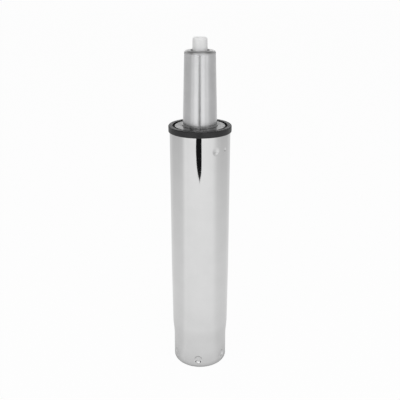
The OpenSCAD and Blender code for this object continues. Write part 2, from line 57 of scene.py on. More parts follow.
# Studio
# White paper floor in a white room, two soft lamps in front and a lit wall behind. Metal
# mirrors a pale floor, and walls that are greyer to the sides and dark behind the camera.
# A black flag on the floor puts the streak on the chrome, between two pools of lamp light
# painted into the floor's mirrored glow.
FLOOR_RADIUS = 5.0
FLOOR_SIDES = 96
FLOOR_DROP = 0.0002
PAPER = "#F4F4F4"
PAPER_GLOW = 0.96
PAPER_GLOW_MIRRORED = 0.6
ROOM_FILL = 0.50
SIDE_SHADE = 0.46
# The floor's side shade grows from near the part outwards
SHADE_NEAR, SHADE_NEAR_GAIN = 0.1, 0.4
SHADE_FAR, SHADE_FAR_GAIN = 1.0, 1.13
CAMERA_SIDE_SHADE = 0.9
SKIRTING_SHADE = 0.85
WALL_GLOW = 1.7
WALL_HALF = 0.9
WALL_BACK = 1.8
WALL_LOW, WALL_HIGH = 0.60, 1.0
LAMP_AIM = (0, 0, 0.15)
BACKDROP = 0.98
# The flag's two edges on the floor, x and y in millimetres
FLAG_EDGE_LEFT = [(-17, -547), (-34, -562), (-70, -575), (-112, -604), (-146, -634),
                  (-167, -669), (-182, -693), (-200, -740), (-206, -801), (-160, -1000), (-360, -2200)]
FLAG_EDGE_RIGHT = [(220, -2200), (64, -1000), (86, -825), (80, -762), (74, -712), (71, -685),
                   (67, -647), (60, -611), (35, -579), (7, -563)]
FLAG = "#1C1C1D"
# How much the painted pools of lamp light brighten the floor's mirrored glow
PAINTED_LAMP_POOL = 0.56
MM = 0.001


def linear(code):
    """An sRGB hex colour as the linear RGBA that Blender works in."""
    parts = [int(code[i:i + 2], 16) / 255 for i in (1, 3, 5)]
    return [p / 12.92 if p <= 0.04045 else ((p + 0.055) / 1.055) ** 2.4 for p in parts] + [1.0]


def add(tree, kind, inputs=None, stops=(), **settings):
    """Adds a node. Settings go on the node, inputs are values or the sockets that feed it, and
    stops are the (place, grey or hex colour) of a colour ramp."""
    made = tree.nodes.new(kind)
    for name, value in settings.items():
        setattr(made, name, value)
    for name, value in (inputs or {}).items():
        if isinstance(value, bpy.types.NodeSocket):
            tree.links.new(value, made.inputs[name])
        else:
            made.inputs[name].default_value = value
    if stops:
        band = made.color_ramp
        band.interpolation = "EASE"
        while len(band.elements) < len(stops):
            band.elements.new(0.5)
        for element, (place, tone) in zip(band.elements, stops):
            element.position = place
            element.color = linear(tone) if isinstance(tone, str) else (tone, tone, tone, 1)
    return made


def side_shade(tree, direction):
    """How far a direction is to the side: 0 to the front, 1 to the left and right, less behind."""
    turn = add(tree, "ShaderNodeTexGradient", {"Vector": direction}, gradient_type="RADIAL")
    return add(tree, "ShaderNodeValToRGB", {"Fac": turn.outputs["Fac"]}, stops=[
        (0.00, 1.0), (0.042, 0.9), (0.1, 0.02), (0.12, 0.1), (0.16, 0.04), (0.25, 0.0), (0.37, 0.05),
        (0.458, 0.9), (0.50, 1.0), (0.575, 0.95), (0.65, 0.55), (0.75, 0.3), (0.85, 0.55), (0.925, 0.95),
    ]).outputs[0]


def clean_material(name):
    """A new material and its empty tree."""
    material = bpy.data.materials.new(name)
    material.use_nodes = True
    material.node_tree.nodes.clear()
    return material, material.node_tree


def card(name, corners, material):
    """A flat staged sheet through these corners."""
    mesh = bpy.data.meshes.new(name)
    mesh.from_pydata(corners, [], [range(len(corners))])
    mesh.materials.append(material)
    made = bpy.data.objects.new(name, mesh)
    bpy.context.scene.collection.objects.link(made)
    return made


paper, tree = clean_material("white_studio_paper")
rays = add(tree, "ShaderNodeLightPath").outputs
mirrored = add(tree, "ShaderNodeMath", {0: rays["Is Glossy Ray"], 1: rays["Is Transmission Ray"]},
               operation="MAXIMUM").outputs[0]
glowing = add(tree, "ShaderNodeMath", {0: mirrored, 1: PAPER_GLOW_MIRRORED}, operation="MULTIPLY").outputs[0]
glowing = add(tree, "ShaderNodeMath", {0: rays["Is Camera Ray"], 1: PAPER_GLOW, 2: glowing},
              operation="MULTIPLY_ADD").outputs[0]
place = add(tree, "ShaderNodeTexCoord").outputs["Object"]
reach = add(tree, "ShaderNodeVectorMath", {0: place}, operation="LENGTH").outputs["Value"]
# Painted contact shadow: the floor's mirrored glow darkens close to the part
painted_contact_shadow = add(tree, "ShaderNodeValToRGB", {"Fac": reach}, stops=[
    (0.020, 0.2), (0.0245, 0.35), (0.030, 0.72), (0.050, 0.84), (0.090, 0.94), (0.150, 1.0)]).outputs[0]
# Painted light: pools of lamp light painted into the floor's mirrored glow on both sides of the flag
turn = add(tree, "ShaderNodeTexGradient", {"Vector": place}, gradient_type="RADIAL").outputs["Fac"]
painted_light_pools = add(tree, "ShaderNodeValToRGB", {"Fac": turn}, stops=[
    (0.125, 0.0), (0.155, 1.0), (0.195, 1.0), (0.225, 0.0), (0.258, 0.0), (0.276, 1.0), (0.325, 1.0),
    (0.355, 0.0)]).outputs[0]
far_off = add(tree, "ShaderNodeValToRGB", {"Fac": reach}, stops=[(0.80, 0.0), (0.96, 1.0)]).outputs[0]
painted_light_pools = add(tree, "ShaderNodeMath", {0: painted_light_pools, 1: far_off}, operation="MULTIPLY").outputs[0]
painted_light_pools = add(tree, "ShaderNodeMath", {0: painted_light_pools, 1: PAINTED_LAMP_POOL, 2: 1.0}, operation="MULTIPLY_ADD").outputs[0]
reach = add(tree, "ShaderNodeMapRange", {"Value": reach, "From Min": SHADE_NEAR, "From Max": SHADE_FAR,
                                         "To Min": SHADE_NEAR_GAIN,
                                         "To Max": SHADE_FAR_GAIN}).outputs["Result"]
shade = add(tree, "ShaderNodeMath", {0: side_shade(tree, place), 1: reach}, operation="MULTIPLY").outputs[0]
shade = add(tree, "ShaderNodeMath", {0: shade, 1: -SIDE_SHADE, 2: 1.0},
            operation="MULTIPLY_ADD").outputs[0]
shade = add(tree, "ShaderNodeMath", {0: shade, 1: painted_contact_shadow}, operation="MULTIPLY").outputs[0]
shade = add(tree, "ShaderNodeMath", {0: shade, 1: painted_light_pools}, operation="MULTIPLY").outputs[0]
level = add(tree, "ShaderNodeMix", {"Factor": mirrored, "A": 1.0, "B": shade}).outputs["Result"]
glow = add(tree, "ShaderNodeEmission", {"Color": (1, 1, 1, 1), "Strength": level}).outputs[0]
matt = add(tree, "ShaderNodeBsdfDiffuse", {"Color": linear(PAPER)}).outputs[0]
both = add(tree, "ShaderNodeMixShader", {0: glowing, 1: matt, 2: glow}).outputs[0]
add(tree, "ShaderNodeOutputMaterial", {"Surface": both})
turns = [math.tau * i / FLOOR_SIDES for i in range(FLOOR_SIDES)]
card("floor", [(FLOOR_RADIUS * math.cos(a), FLOOR_RADIUS * math.sin(a), -FLOOR_DROP) for a in turns], paper)

flag_cloth, tree = clean_material("black_flag_cloth")
cloth = add(tree, "ShaderNodeBsdfDiffuse", {"Color": linear(FLAG)}).outputs[0]
add(tree, "ShaderNodeOutputMaterial", {"Surface": cloth})
flag = card("flag", [(x * MM, y * MM, MM) for x, y in reversed(FLAG_EDGE_LEFT)]
            + [(x * MM, y * MM, MM) for x, y in reversed(FLAG_EDGE_RIGHT)], flag_cloth)
lit_wall, tree = clean_material("lit_back_wall")
wall_light = add(tree, "ShaderNodeEmission", {"Color": (1, 1, 1, 1), "Strength": WALL_GLOW}).outputs[0]
add(tree, "ShaderNodeOutputMaterial", {"Surface": wall_light})
wall = card("back_wall", [(-WALL_HALF, WALL_BACK, WALL_LOW), (WALL_HALF, WALL_BACK, WALL_LOW),
                          (WALL_HALF, WALL_BACK, WALL_HIGH), (-WALL_HALF, WALL_BACK, WALL_HIGH)], lit_wall)
for staged in (flag, wall):
    staged.visible_camera = False
    staged.visible_diffuse = False
    staged.visible_shadow = False

world = bpy.data.worlds.new("white_room")
bpy.context.scene.world = world
world.use_nodes = True
tree = world.node_tree
tree.nodes.clear()
rays = add(tree, "ShaderNodeLightPath").outputs
mirrored = add(tree, "ShaderNodeMath", {0: rays["Is Glossy Ray"], 1: rays["Is Transmission Ray"]},
               operation="MAXIMUM").outputs[0]
direction = add(tree, "ShaderNodeTexCoord").outputs["Generated"]
height = add(tree, "ShaderNodeSeparateXYZ", {0: direction}).outputs["Z"]
ceiling = add(tree, "ShaderNodeValToRGB", {"Fac": height}, stops=[
    (0.0, 1.0), (0.40, 0.95), (0.62, 0.5), (0.85, 0.22), (1.0, 0.18)]).outputs[0]
shade = add(tree, "ShaderNodeMath", {0: side_shade(tree, direction), 1: -SIDE_SHADE, 2: 1.0},
            operation="MULTIPLY_ADD").outputs[0]
shade = add(tree, "ShaderNodeMath", {0: shade, 1: ceiling}, operation="MULTIPLY").outputs[0]
turn = add(tree, "ShaderNodeTexGradient", {"Vector": direction}, gradient_type="RADIAL").outputs["Fac"]
behind_camera = add(tree, "ShaderNodeValToRGB", {"Fac": turn}, stops=[
    (0.03, 0.0), (0.07, 0.9), (0.195, 0.95), (0.213, 0.35), (0.234, 0.35), (0.252, 0.95), (0.36, 0.9),
    (0.40, 0.0)]).outputs[0]
above_floor = add(tree, "ShaderNodeValToRGB", {"Fac": height}, stops=[
    (0.0, 0.0), (0.05, 1.0), (0.6, 1.0), (0.8, 0.0)]).outputs[0]
dark = add(tree, "ShaderNodeMath", {0: behind_camera, 1: above_floor}, operation="MULTIPLY").outputs[0]
dark = add(tree, "ShaderNodeMath", {0: dark, 1: -CAMERA_SIDE_SHADE, 2: 1.0},
           operation="MULTIPLY_ADD").outputs[0]
shade = add(tree, "ShaderNodeMath", {0: shade, 1: dark}, operation="MULTIPLY").outputs[0]
far_side = add(tree, "ShaderNodeValToRGB", {"Fac": turn}, stops=[
    (0.58, 0.0), (0.66, 1.0), (0.84, 1.0), (0.92, 0.0)]).outputs[0]
skirting = add(tree, "ShaderNodeValToRGB", {"Fac": height}, stops=[
    (0.0, 1.0), (0.13, 1.0), (0.17, 0.0)]).outputs[0]
dark = add(tree, "ShaderNodeMath", {0: far_side, 1: skirting}, operation="MULTIPLY").outputs[0]
dark = add(tree, "ShaderNodeMath", {0: dark, 1: -SKIRTING_SHADE, 2: 1.0}, operation="MULTIPLY_ADD").outputs[0]
shade = add(tree, "ShaderNodeMath", {0: shade, 1: dark}, operation="MULTIPLY").outputs[0]
level = add(tree, "ShaderNodeMix", {"Factor": mirrored, "A": ROOM_FILL, "B": shade}).outputs["Result"]
level = add(tree, "ShaderNodeMix", {"Factor": rays["Is Camera Ray"], "A": level,
                                    "B": BACKDROP}).outputs["Result"]
air = add(tree, "ShaderNodeBackground", {"Color": (1, 1, 1, 1), "Strength": level}).outputs[0]
add(tree, "ShaderNodeOutputWorld", {"Surface": air})

for name, spot, width, power in [("softbox_right", (0.42, -0.95, 1.05), 0.85, 3.7),
                                 ("softbox_left", (-0.60, -0.95, 1.05), 0.85, 3.0)]:
    lamp = bpy.data.objects.new(name, bpy.data.lights.new(name, "AREA"))
    bpy.context.scene.collection.objects.link(lamp)
    lamp.data.size = width
    lamp.data.energy = power
    lamp.visible_camera = False
    lamp.location = spot
    lamp.rotation_euler = (Vector(LAMP_AIM) - Vector(spot)).to_track_quat("-Z", "Y").to_euler()

# Column tube
# Drawn steel tube, polished and chromed. Its foot is reduced for the chair base and rolled
# in under the end plate, and round dents stake the plate and the guide bush in place.
COLUMN_H = 215
COLUMN_R = 25
WALL = 1.6
FOOT_R = 23.5
NECK_R = 24.5
NECK_FROM, NECK_TO = 24, 40
TAPER_END = 95
RIM_ROUND = 3
RIM_OPENING_R = 19
NECK_STEPS = 28
# Strips of fine mesh for the stake marks, with the step of each
STAKE_BAND, STAKE_STEP = (4.9, 13.2), 0.34
BUSH_BAND, BUSH_STEP = (198.8, 207.2), 0.3
INNER_STEP = 1.2
# Bends under this many degrees belong to a curve, and the others are corners
CORNER = 25
# Each kind: how many, turn of the first from the front, height, width, depth, and the share of
# the half width that its sloping wall takes
STAKES = {"foot": (6, -4, 9.03, 8.2, 1.2, 0.5),
          "bush": (2, 31, 203, 7.6, 0.55, 1.0),
          "punch": (2, 54, 203, 3.2, 0.8, 0.7)}


def arc(centre, radius, start, end, steps=8):
    """Points of an arc in an outline of (radius, height)."""
    turns = [math.radians(start + (end - start) * i / steps) for i in range(steps + 1)]
    return [(centre[0] + radius * math.cos(a), centre[1] + radius * math.sin(a)) for a in turns]


def broken(points, radius, closed=True, steps=3):
    """The same outline with its sharp corners broken by a small radius."""
    made = []
    for i, point in enumerate(points):
        before, after = points[i - 1], points[(i + 1) % len(points)]
        into = Vector(point) - Vector(before)
        out = Vector(after) - Vector(point)
        ends = not closed and i in (0, len(points) - 1)
        shortest = min(into.length, out.length)
        if ends or shortest < 1e-6 or abs(into.angle_signed(out)) < math.radians(CORNER):
            made.append(point)
            continue
        turn = abs(into.angle_signed(out))
        back = min(radius * math.tan(turn / 2), shortest * 0.45)
        start = Vector(point) - into.normalized() * back
        end = Vector(point) + out.normalized() * back
        for k in range(steps + 1):
            t = k / steps
            bent = start * (1 - t) ** 2 + Vector(point) * 2 * t * (1 - t) + end * t ** 2
            made.append(tuple(bent))
    return made


def stretched(points, longest, closed=True, fine=()):
    """Adds points along the outline's long sides, and one near each end so that they shade flat."""
    near, long = 0.06, 0.6
    made = []
    count = len(points) if closed else len(points) - 1
    for i in range(count):
        a, b = Vector(points[i]), Vector(points[(i + 1) % len(points)])
        length = (b - a).length
        stops = [0.0]
        middle = (a.y + b.y) / 2
        step = min([longest] + [s for low, high, s in fine if low <= middle <= high])
        pieces = max(1, math.ceil(length / step))
        if length > long:
            stops.append(near / length)
        stops += [k / pieces for k in range(1, pieces)]
        if length > long:
            stops.append(1 - near / length)
        made += [tuple(a.lerp(b, t)) for t in stops]
    return made if closed else made + [points[-1]]


def piece_tree(name, inputs):
    """A new geometry tree with these inputs and a Finish, and the sockets that bring them in."""
    tree = bpy.data.node_groups.new(name, "GeometryNodeTree")
    for label, kind in [*inputs.items(), ("Finish", "Material")]:
        tree.interface.new_socket(label, in_out="INPUT", socket_type="NodeSocket" + kind)
    tree.interface.new_socket("Piece", in_out="OUTPUT", socket_type="NodeSocketGeometry")
    return tree, add(tree, "NodeGroupInput").outputs


def piece_out(tree, shape, finish):
    """Ends a geometry tree with the shape as plain geometry in its finish."""
    shape = add(tree, "GeometryNodeRealizeInstances", {0: shape}).outputs[0]
    shape = add(tree, "GeometryNodeSetMaterial", {"Geometry": shape, "Material": finish}).outputs[0]
    add(tree, "NodeGroupOutput", {0: shape})


# Sweeps an outline round the upright axis
turned_tree, given = piece_tree("Turned piece", {"Outline": "Geometry", "Sides": "Int", "Closed": "Int"})
tree = turned_tree
points = add(tree, "GeometryNodeAttributeDomainSize", {0: given["Outline"]}).outputs["Point Count"]
rows = add(tree, "ShaderNodeMath", {0: points, 1: given["Closed"]}, operation="ADD").outputs[0]
columns = add(tree, "ShaderNodeMath", {0: given["Sides"], 1: 1.0}, operation="ADD").outputs[0]
sheet = add(tree, "GeometryNodeMeshGrid", {"Vertices X": columns, "Vertices Y": rows}).outputs["Mesh"]
index = add(tree, "GeometryNodeInputIndex").outputs[0]
side = add(tree, "ShaderNodeMath", {0: index, 1: rows}, operation="DIVIDE").outputs[0]
side = add(tree, "ShaderNodeMath", {0: side}, operation="FLOOR").outputs[0]
row = add(tree, "ShaderNodeMath", {0: index, 1: rows}, operation="FLOORED_MODULO").outputs[0]
row = add(tree, "ShaderNodeMath", {0: row, 1: points}, operation="FLOORED_MODULO").outputs[0]
turn = add(tree, "ShaderNodeMath", {0: side, 1: given["Sides"]}, operation="DIVIDE").outputs[0]
turn = add(tree, "ShaderNodeMath", {0: turn, 1: math.tau}, operation="MULTIPLY").outputs[0]
spot = add(tree, "GeometryNodeSampleIndex", {"Geometry": given["Outline"], "Index": row,
           "Value": add(tree, "GeometryNodeInputPosition").outputs[0]}, data_type="FLOAT_VECTOR").outputs[0]
spot = add(tree, "ShaderNodeVectorRotate", {"Vector": spot, "Angle": turn}, rotation_type="Z_AXIS").outputs[0]
solid = add(tree, "GeometryNodeSetPosition", {"Geometry": sheet, "Position": spot}).outputs[0]
solid = add(tree, "GeometryNodeMergeByDistance", {"Geometry": solid, "Distance": 1e-7}).outputs[0]
solid = add(tree, "GeometryNodeSetShadeSmooth", {"Geometry": solid}).outputs[0]
piece_out(tree, solid, given["Finish"])

# Pushes a ring of round dents into a tube, each with a flat floor and a smooth wall
stake_tree, given = piece_tree("Stake marks", {"Tube": "Geometry", "Marks": "Int", "First turn": "Float",
                                               "Height": "Float", "Width": "Float", "Depth": "Float",
                                               "Wall share": "Float"})
tree = stake_tree
here = add(tree, "GeometryNodeInputPosition").outputs[0]
axes = add(tree, "ShaderNodeSeparateXYZ", {0: here}).outputs
off_axis = add(tree, "ShaderNodeVectorMath", {0: here, 1: (1, 1, 0)}, operation="MULTIPLY").outputs[0]
radius = add(tree, "ShaderNodeVectorMath", {0: off_axis}, operation="LENGTH").outputs["Value"]
outward = add(tree, "ShaderNodeVectorMath", {0: off_axis}, operation="NORMALIZE").outputs[0]
forward = add(tree, "ShaderNodeMath", {0: axes["Y"], 1: -1.0}, operation="MULTIPLY").outputs[0]
turn = add(tree, "ShaderNodeMath", {0: axes["X"], 1: forward}, operation="ARCTAN2").outputs[0]
turn = add(tree, "ShaderNodeMath", {0: turn, 1: given["First turn"]}, operation="SUBTRACT").outputs[0]
pitch = add(tree, "ShaderNodeMath", {0: math.tau, 1: given["Marks"]}, operation="DIVIDE").outputs[0]
turn = add(tree, "ShaderNodeMath", {0: turn, 1: pitch}, operation="DIVIDE").outputs[0]
whole = add(tree, "ShaderNodeMath", {0: turn}, operation="ROUND").outputs[0]
turn = add(tree, "ShaderNodeMath", {0: turn, 1: whole}, operation="SUBTRACT").outputs[0]
turn = add(tree, "ShaderNodeMath", {0: turn, 1: pitch}, operation="MULTIPLY").outputs[0]
across = add(tree, "ShaderNodeMath", {0: turn, 1: radius}, operation="MULTIPLY").outputs[0]
along = add(tree, "ShaderNodeMath", {0: axes["Z"], 1: given["Height"]}, operation="SUBTRACT").outputs[0]
away = add(tree, "ShaderNodeCombineXYZ", {"X": across, "Y": along}).outputs[0]
away = add(tree, "ShaderNodeVectorMath", {0: away}, operation="LENGTH").outputs["Value"]
half = add(tree, "ShaderNodeMath", {0: given["Width"], 1: 0.5}, operation="MULTIPLY").outputs[0]
flat = add(tree, "ShaderNodeMath", {0: 1.0, 1: given["Wall share"]}, operation="SUBTRACT").outputs[0]
flat = add(tree, "ShaderNodeMath", {0: flat, 1: half}, operation="MULTIPLY").outputs[0]
push = add(tree, "ShaderNodeMapRange", {"Value": away, "From Min": flat, "From Max": half,
                                        "To Min": given["Depth"], "To Max": 0.0},
           interpolation_type="SMOOTHSTEP").outputs["Result"]
push = add(tree, "ShaderNodeMath", {0: push, 1: -1.0}, operation="MULTIPLY").outputs[0]
push = add(tree, "ShaderNodeVectorMath", {0: outward, "Scale": push}, operation="SCALE").outputs[0]
tube = add(tree, "GeometryNodeSetPosition", {"Geometry": given["Tube"], "Offset": push}).outputs[0]
piece_out(tree, tube, given["Finish"])


def shaped(name, start, steps, body, *stands_for, slot=None):
    """Runs a start mesh through node trees, keeps the plain result, and puts it on its body."""
    blank = bpy.data.objects.new(name + "_blank", start)
    bpy.context.scene.collection.objects.link(blank)
    for tree, values in steps:
        step = blank.modifiers.new(tree.name, "NODES")
        step.node_group = tree
        for socket in tree.interface.items_tree:
            if socket.in_out == "INPUT" and socket.name in values:
                step[socket.identifier] = values[socket.name]
    look = bpy.context.evaluated_depsgraph_get()
    mesh = bpy.data.meshes.new_from_object(blank.evaluated_get(look), preserve_all_data_layers=True,
                                           depsgraph=look)
    bpy.data.objects.remove(blank)
    mesh.name = name
    for place in reversed(range(len(mesh.materials))):
        if mesh.materials[place] is None:
            mesh.materials.pop(index=place)
    mesh.validate()
    mesh.set_sharp_from_angle(angle=math.radians(40))
    piece = bpy.data.objects.new(name, mesh)
    bpy.context.scene.collection.objects.link(piece)
    if stands_for:
        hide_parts(*stands_for)
    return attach(piece, body)


def outline_mesh(points):
    """An outline of (radius, height) in millimetres as loose points for the turned tree."""
    mesh = bpy.data.meshes.new("outline")
    mesh.from_pydata([(r * MM, 0, z * MM) for r, z in points], [], [])
    return mesh


def turned(name, points, material, body, *stands_for, slot=None, closed=True, sides=256, then=()):
    """A piece swept round the axis from its outline, with any other trees run after the sweep."""
    steps = [(turned_tree, {"Sides": sides, "Closed": int(closed), "Finish": material}), *then]
    return shaped(name, outline_mesh(points), steps, body, *stands_for, slot=slot)


def finish_for(name, sockets):
    """A new material, its tree, its shader with these sockets set, and the piece's own coordinates."""
    material, tree = clean_material(name)
    shader = add(tree, "ShaderNodeBsdfPrincipled", sockets)
    add(tree, "ShaderNodeOutputMaterial", {"Surface": shader.outputs[0]})
    return material, tree, shader, add(tree, "ShaderNodeTexCoord").outputs["Object"]


def surface(tree, shader, by, stops, span, rough, rough_by=None, relief=None, depth=0.0, strength=1.0):
    """Colours a shader by a pattern and its stops, runs its roughness over a span of that pattern
    or of rough_by, and gives it a relief of this depth in millimetres."""
    tone = add(tree, "ShaderNodeValToRGB", {"Fac": by}, stops=stops).outputs[0]
    tree.links.new(tone, shader.inputs["Base Color"])
    rough = add(tree, "ShaderNodeMapRange", {"Value": rough_by or by, "From Min": span[0],
                                             "From Max": span[1], "To Min": rough[0],
                                             "To Max": rough[1]}).outputs["Result"]
    tree.links.new(rough, shader.inputs["Roughness"])
    if relief:
        bump = {"Height": relief, "Strength": strength, "Distance": depth * MM}
        tree.links.new(add(tree, "ShaderNodeBump", bump).outputs[0], shader.inputs["Normal"])


# Hard chrome on polished drawn steel: a clear mirror with the slow waves of the drawn tube
# and a faint haze from handling, so that reflected edges swim a little.
chrome, tree, shader, at = finish_for("hard_chrome_on_drawn_steel", {"Metallic": 1.0})
drawn = add(tree, "ShaderNodeMapping", {"Vector": at, "Scale": (1, 1, 0.25)}).outputs[0]
waves = add(tree, "ShaderNodeTexNoise", {"Vector": drawn, "Scale": 1 / (12 * MM),
                                         "Detail": 1.5}).outputs["Fac"]
haze = add(tree, "ShaderNodeTexNoise", {"Vector": at, "Scale": 1 / (18 * MM), "Detail": 4.0}).outputs["Fac"]
surface(tree, shader, haze, [(0.3, "#E4E4E4"), (0.7, "#E7E7E7")],
        span=(0.35, 0.65), rough=(0.03, 0.05), relief=waves, depth=0.05)

neck = [(FOOT_R + (NECK_R - FOOT_R) * t * t * (3 - 2 * t), NECK_FROM + (NECK_TO - NECK_FROM) * t)
        for t in [i / NECK_STEPS for i in range(NECK_STEPS + 1)]]
rim_centre = (FOOT_R - RIM_ROUND, RIM_ROUND)
outer = ([(RIM_OPENING_R, 0)] + arc(rim_centre, RIM_ROUND, 270, 360, 14)
         + [(FOOT_R, z) for z in STAKE_BAND] + neck + [(COLUMN_R, TAPER_END)]
         + [(COLUMN_R, z) for z in BUSH_BAND] + [(COLUMN_R, COLUMN_H)])
# The bore takes every fourth point of the neck
inner = ([(COLUMN_R - WALL, COLUMN_H)] + [(COLUMN_R - WALL, z) for z in reversed(BUSH_BAND)]
         + [(COLUMN_R - WALL, TAPER_END)] + [(r - WALL, z) for r, z in reversed(neck[::4])]
         + [(FOOT_R - WALL, z) for z in reversed(STAKE_BAND)]
         + arc(rim_centre, RIM_ROUND - WALL, 360, 270, 6) + [(RIM_OPENING_R, WALL)])
bands = [(*STAKE_BAND, STAKE_STEP), (*BUSH_BAND, BUSH_STEP)]
outline = stretched(broken(outer, 0.3, closed=False), 9.0, closed=False, fine=bands)
bands = [(*STAKE_BAND, INNER_STEP), (*BUSH_BAND, INNER_STEP)]
outline += stretched(inner, 9.0, closed=False, fine=bands)
marks = [(stake_tree, {"Marks": count, "First turn": math.radians(turn), "Height": z * MM,
                       "Width": width * MM, "Depth": depth * MM, "Wall share": wall, "Finish": chrome})
         for count, turn, z, width, depth, wall in STAKES.values()]
turned("chromed_column", outline, chrome, "column", "column_tube", slot="chrome_column", sides=450,
       then=marks)

# End plate
# Thick pressed steel dish that carries the whole load. It is zinc plated, drops into the
# foot against the rolled rim, and the six stakes above it keep it there.
PLATE_T = 2.5
SKIRT_R = 21.8
PLATE_LOW = 1.6
WEB_TOP = 5.7
HAT_TOP = 9.3
HAT_R = 12.5
HAT_FLANK = 1.8
STUD_HOLE_R = 4.1

# Bright zinc plate on pressed steel: a cool, slightly cloudy grey with a soft shine and the
# fine orange-peel of sheet steel under it
zinc, tree, shader, at = finish_for("zinc_plated_pressed_steel", {"Metallic": 1.0})
cloud = add(tree, "ShaderNodeTexNoise", {"Vector": at, "Scale": 1 / (6 * MM), "Detail": 4.0}).outputs["Fac"]
peel = add(tree, "ShaderNodeTexNoise", {"Vector": at, "Scale": 1 / (0.7 * MM), "Detail": 3.0}).outputs["Fac"]
surface(tree, shader, cloud, [(0.3, "#BFC4C9"), (0.55, "#CDD0D2"), (0.75, "#D2D2CC")],
        span=(0.3, 0.7), rough=(0.26, 0.42), relief=peel, depth=0.02)

outline = [
    (SKIRT_R - PLATE_T, PLATE_LOW), (FOOT_R - RIM_ROUND, PLATE_LOW), (SKIRT_R, RIM_ROUND), (SKIRT_R, WEB_TOP),
    (HAT_R + HAT_FLANK, WEB_TOP), (HAT_R, HAT_TOP), (STUD_HOLE_R, HAT_TOP), (STUD_HOLE_R, HAT_TOP - PLATE_T),
    (HAT_R - PLATE_T / 2, HAT_TOP - PLATE_T), (HAT_R + HAT_FLANK - PLATE_T / 2, WEB_TOP - PLATE_T),
    (SKIRT_R - PLATE_T, WEB_TOP - PLATE_T)]
outline = stretched(broken(outline, 0.5, steps=5), 2.0)
turned("pressed_end_plate", outline, zinc, "column", "end_plate", slot="plated_steel", sides=224)

# Thrust bearing
# Ten hardened balls in a moulded ring cage run between two ground races, so that the seat
# swivels under load. The lower race lies on the end plate and the upper one turns with the rod.
BALL_R = 2
BALLS = 10
PITCH_R = 8.2
BALL_Z = 12.8
BALL_SIDES = 32

# Repeats a part at even steps round the upright axis
round_tree, given = piece_tree("Placed round the axis", {"Part": "Geometry", "Count": "Int"})
tree = round_tree
spots = add(tree, "GeometryNodeMeshLine", {"Count": given["Count"], "Offset": (0, 0, 0)}).outputs[0]
index = add(tree, "GeometryNodeInputIndex").outputs[0]
step = add(tree, "ShaderNodeMath", {0: math.tau, 1: given["Count"]}, operation="DIVIDE").outputs[0]
turn = add(tree, "ShaderNodeMath", {0: index, 1: step}, operation="MULTIPLY").outputs[0]
turn = add(tree, "ShaderNodeCombineXYZ", {"Z": turn}).outputs[0]
ring = add(tree, "GeometryNodeInstanceOnPoints", {"Points": spots, "Instance": given["Part"],
                                                  "Rotation": turn}).outputs[0]
piece_out(tree, ring, given["Finish"])


def dress(material, *names):
    """Gives CAD nodes whose shape is right a finish of their own."""
    for name in names:
        for slot in nodes[name].material_slots:
            slot.material = material


# Through-hardened bearing steel, ground and lapped: a bright, slightly warm grey mirror with
# a trace of grease that dulls it in patches
bearing, tree, shader, at = finish_for("lapped_bearing_steel", {"Metallic": 1.0})
grease = add(tree, "ShaderNodeTexNoise", {"Vector": at, "Scale": 1 / (3 * MM), "Detail": 3.0}).outputs["Fac"]
surface(tree, shader, grease, [(0.35, "#C6C6C6"), (0.65, "#D3D2D1")],
        span=(0.35, 0.65), rough=(0.07, 0.20), relief=grease, depth=0.01)

# Natural nylon, moulded: a waxy cream that greys where grease sits on it
nylon, tree, shader, at = finish_for("natural_moulded_nylon", {"IOR": 1.53})
wax = add(tree, "ShaderNodeTexNoise", {"Vector": at, "Scale": 1 / (4 * MM), "Detail": 4.0}).outputs["Fac"]
surface(tree, shader, wax, [(0.3, "#D2CBB6"), (0.7, "#DED8C6")],
        span=(0.3, 0.7), rough=(0.34, 0.5), relief=wax, depth=0.02)
dress(bearing, "lower_race", "upper_race")
dress(nylon, "ball_cage")

half_round = [(BALL_R * math.cos(math.radians(a)) * MM, 0, BALL_R * math.sin(math.radians(a)) * MM)
              for a in range(-90, 91, 9)]
ball = bpy.data.meshes.new("bearing_ball")
spin = BALL_SIDES
turns = [math.tau * k / spin for k in range(spin)]
corners = [(x * math.cos(a), x * math.sin(a) - PITCH_R * MM, z + BALL_Z * MM)
           for x, y, z in half_round[1:-1] for a in turns]
rings = len(half_round) - 2
last = (rings - 1) * spin
poles = [(0, -PITCH_R * MM, (BALL_Z - BALL_R) * MM), (0, -PITCH_R * MM, (BALL_Z + BALL_R) * MM)]
faces = [(j * spin + k, j * spin + (k + 1) % spin, (j + 1) * spin + (k + 1) % spin, (j + 1) * spin + k)
         for j in range(rings - 1) for k in range(spin)]
faces += [(rings * spin, (k + 1) % spin, k) for k in range(spin)]
faces += [(rings * spin + 1, last + k, last + (k + 1) % spin) for k in range(spin)]
ball.from_pydata(corners + poles, [], faces)
ball.shade_smooth()
shaped("lapped_balls", ball, [(round_tree, {"Count": BALLS, "Finish": bearing})],
       "ball_cage", "bearing_balls", slot="bearing_steel")

# Piston rod
# Ground steel bar that stands on the bearing and stays in the column. Its stud goes down
# through the end plate, and its spigot carries the piston inside the stem.
ROD_R = 5
STUD_R = 4
STUD_END = 2
ROD_EDGE = 0.6
CLIP_GROOVE = (4.3, 5.6)
CLIP_GROOVE_R = 3
ROD_SHOULDER = 16.3
PISTON_LOW = 178
SPIGOT_R = 3.5
ROD_TIP = 192

# Ground and polished bar: bright, with hair-thin rings left by the wheel that stretch a
# highlight along the rod
polished_bar, tree, shader, at = finish_for("ground_and_polished_bar", {"Metallic": 1.0})
rings = add(tree, "ShaderNodeMapping", {"Vector": at, "Scale": (20, 20, 1 / (0.3 * MM))}).outputs[0]
rings = add(tree, "ShaderNodeTexNoise", {"Vector": rings, "Scale": 1.0, "Detail": 2.0}).outputs["Fac"]
surface(tree, shader, rings, [(0.35, "#CDCED0"), (0.65, "#DCDDDE")],
        span=(0.35, 0.65), rough=(0.10, 0.17), relief=rings, depth=0.003)

